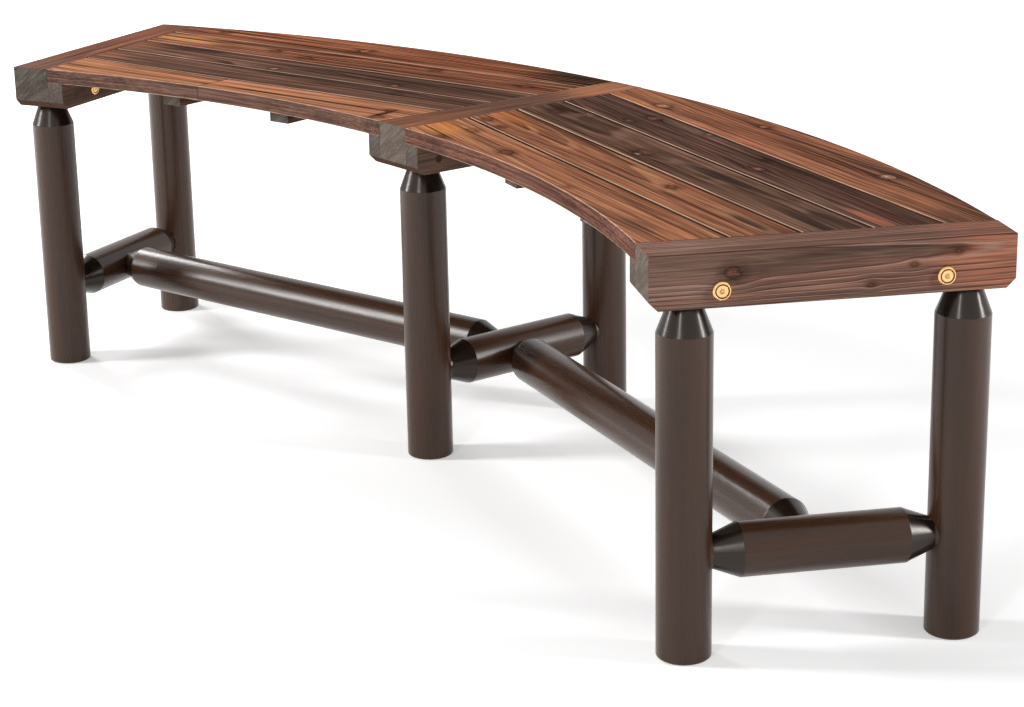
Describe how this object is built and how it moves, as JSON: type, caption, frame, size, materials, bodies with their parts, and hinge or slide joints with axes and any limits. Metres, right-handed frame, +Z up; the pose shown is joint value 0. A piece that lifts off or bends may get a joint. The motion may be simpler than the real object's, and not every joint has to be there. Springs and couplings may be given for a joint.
{
  "type": "curved bench",
  "caption": "Curved backless garden bench: straight slats sawn to an arc between radial rails, on round log legs with turned cone joints and log stretchers.",
  "frame": {"origin": "middle of the footprint, on the ground", "axes": "+X along the bench, +Y from the concave front edge to the convex back edge, +Z up"},
  "size_m": [1.7632, 0.5662, 0.45],
  "materials": {
    "log_wood": "round softwood logs, charred and stained very dark brown, satin along the log and glossy on the turned cones",
    "slat_wood": "heat-treated softwood boards, orange-brown with dark grain, thin clear satin coat",
    "beam_wood": "brushed softwood beams, reddish brown with a dark heart, thin clear satin coat",
    "brass": "bright brass-plated steel",
    "zinc_steel": "zinc-plated steel"
  },
  "bodies": {
    "root": {"left_front_leg": "log_wood", "left_back_leg": "log_wood", "centre_front_leg": "log_wood", "centre_back_leg": "log_wood", "right_front_leg": "log_wood", "right_back_leg": "log_wood", "left_cross_stretcher": "log_wood", "centre_cross_stretcher": "log_wood", "right_cross_stretcher": "log_wood", "left_long_stretcher": "log_wood", "right_long_stretcher": "log_wood", "left_end_rail": "beam_wood", "centre_rail": "beam_wood", "right_end_rail": "beam_wood", "left_end_cleat": "beam_wood", "centre_left_cleat": "beam_wood", "centre_right_cleat": "beam_wood", "right_end_cleat": "beam_wood", "left_bay_batten_1": "beam_wood", "left_bay_batten_2": "beam_wood", "right_bay_batten_1": "beam_wood", "right_bay_batten_2": "beam_wood", "left_slat_1": "slat_wood", "left_slat_2": "slat_wood", "left_slat_3": "slat_wood", "left_slat_4": "slat_wood", "left_slat_5": "slat_wood", "right_slat_1": "slat_wood", "right_slat_2": "slat_wood", "right_slat_3": "slat_wood", "right_slat_4": "slat_wood", "right_slat_5": "slat_wood", "left_front_bolt": "brass", "left_back_bolt": "brass", "centre_front_bolt": "brass", "centre_back_bolt": "brass", "right_front_bolt": "brass", "right_back_bolt": "brass", "left_front_nut": "brass", "left_back_nut": "brass", "centre_front_nut": "brass", "centre_back_nut": "brass", "right_front_nut": "brass", "right_back_nut": "brass", "left_end_cleat_screws": "zinc_steel", "centre_left_cleat_screws": "zinc_steel", "centre_right_cleat_screws": "zinc_steel", "right_end_cleat_screws": "zinc_steel", "left_bay_batten_1_screws": "zinc_steel", "left_bay_batten_2_screws": "zinc_steel", "right_bay_batten_1_screws": "zinc_steel", "right_bay_batten_2_screws": "zinc_steel"}
  },
  "joints": []
}
